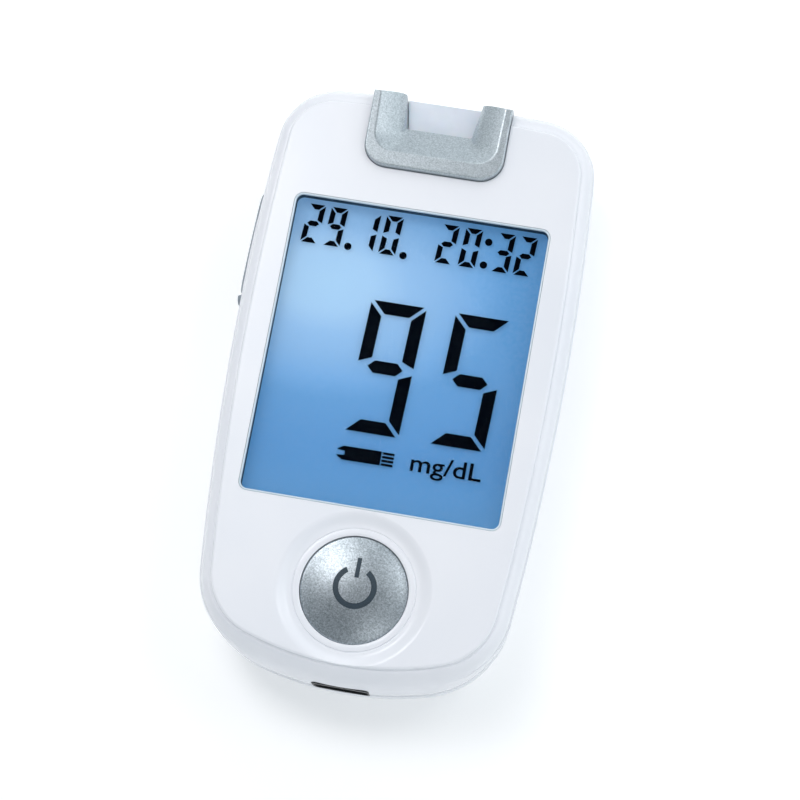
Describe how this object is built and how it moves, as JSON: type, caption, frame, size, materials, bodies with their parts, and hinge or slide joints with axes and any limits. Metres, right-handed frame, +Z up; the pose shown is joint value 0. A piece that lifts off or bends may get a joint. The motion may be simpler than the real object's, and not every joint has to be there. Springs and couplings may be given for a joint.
{
  "type": "blood glucose meter",
  "caption": "Hand-held blood glucose meter with a wide display, round power button, side rocker key, test-strip port, data port and a battery door in the back.",
  "frame": {"origin": "middle of the flat back, on the surface that the meter lies on", "axes": "+X to the right across the face, +Y along the meter towards the test-strip port, +Z up through the display"},
  "size_m": [0.0548, 0.098, 0.0222],
  "materials": {
    "white_case_plastic": "glossy white moulded ABS",
    "silver_painted_plastic": "fine silver metallic paint on ABS",
    "clear_window": "clear acrylic pane",
    "display_glass": "blue liquid-crystal panel between two glass sheets",
    "milky_plastic": "milky translucent plastic",
    "lamp_package": "white lamp packages",
    "white_inner_plastic": "satin white moulded plastic",
    "carbon_rubber": "silicone rubber with carbon layers",
    "circuit_board": "green solder resist on glass-fibre board",
    "black_plastic": "black moulded plastic",
    "nickel_plated_steel": "bright nickel plate",
    "gold_plated_bronze": "gold-plated spring bronze",
    "cell_wrap": "dark printed film on a steel can",
    "zinc_plated_steel": "zinc-plated steel"
  },
  "bodies": {
    "case": {"front_cover": "white_case_plastic", "rear_cover": "white_case_plastic", "strip_port_bezel": "silver_painted_plastic", "display_window": "clear_window", "lcd_panel": "display_glass", "backlight_guide": "milky_plastic", "strip_guide": "milky_plastic", "backlight_led_left": "lamp_package", "backlight_led_right": "lamp_package", "lcd_holder": "white_inner_plastic", "lcd_connector_strip": "carbon_rubber", "main_board": "circuit_board", "controller_chip": "black_plastic", "memory_chip": "black_plastic", "sounder": "black_plastic", "strip_connector": "black_plastic", "data_port_tongue": "black_plastic", "power_switch": "black_plastic", "rocker_switch_lower": "black_plastic", "rocker_switch_upper": "black_plastic", "data_port_shell": "nickel_plated_steel", "battery_contact_bridge": "nickel_plated_steel", "battery_contact_negative": "nickel_plated_steel", "battery_contact_positive": "nickel_plated_steel", "battery_spring_left": "nickel_plated_steel", "battery_spring_right": "nickel_plated_steel", "clock_crystal": "nickel_plated_steel", "strip_contact_1": "gold_plated_bronze", "strip_contact_2": "gold_plated_bronze", "strip_contact_3": "gold_plated_bronze", "battery_cell_left": "cell_wrap", "battery_cell_right": "cell_wrap", "rocker_pin": "zinc_plated_steel", "case_screw_port_left": "zinc_plated_steel", "case_screw_port_right": "zinc_plated_steel", "case_screw_strip_left": "zinc_plated_steel", "case_screw_strip_right": "zinc_plated_steel", "board_screw_left": "zinc_plated_steel", "board_screw_right": "zinc_plated_steel"},
    "power_button": {"power_button": "silver_painted_plastic", "power_switch_plunger": "black_plastic"},
    "side_rocker": {"side_rocker": "white_case_plastic"},
    "battery_door": {"battery_door": "white_case_plastic"}
  },
  "joints": [
    {"name": "power_button_press", "type": "slide", "parent": "case", "child": "power_button", "axis": [0, 0, -1], "range_m": [0, 0.0005], "stiffness_N_per_m": 900, "springref_m": -0.0005},
    {"name": "side_rocker_tilt", "type": "hinge", "parent": "case", "child": "side_rocker", "pos_m": [-0.0247, 0.0204, 0.0111], "axis": [0, 0, 1], "range_deg": [-2.5, 2.5], "stiffness_Nm_per_rad": 0.08},
    {"name": "battery_door_swing", "type": "hinge", "parent": "case", "child": "battery_door", "pos_m": [0, 0.0232, 0.0012], "axis": [1, 0, 0], "range_deg": [0, 75]}
  ]
}
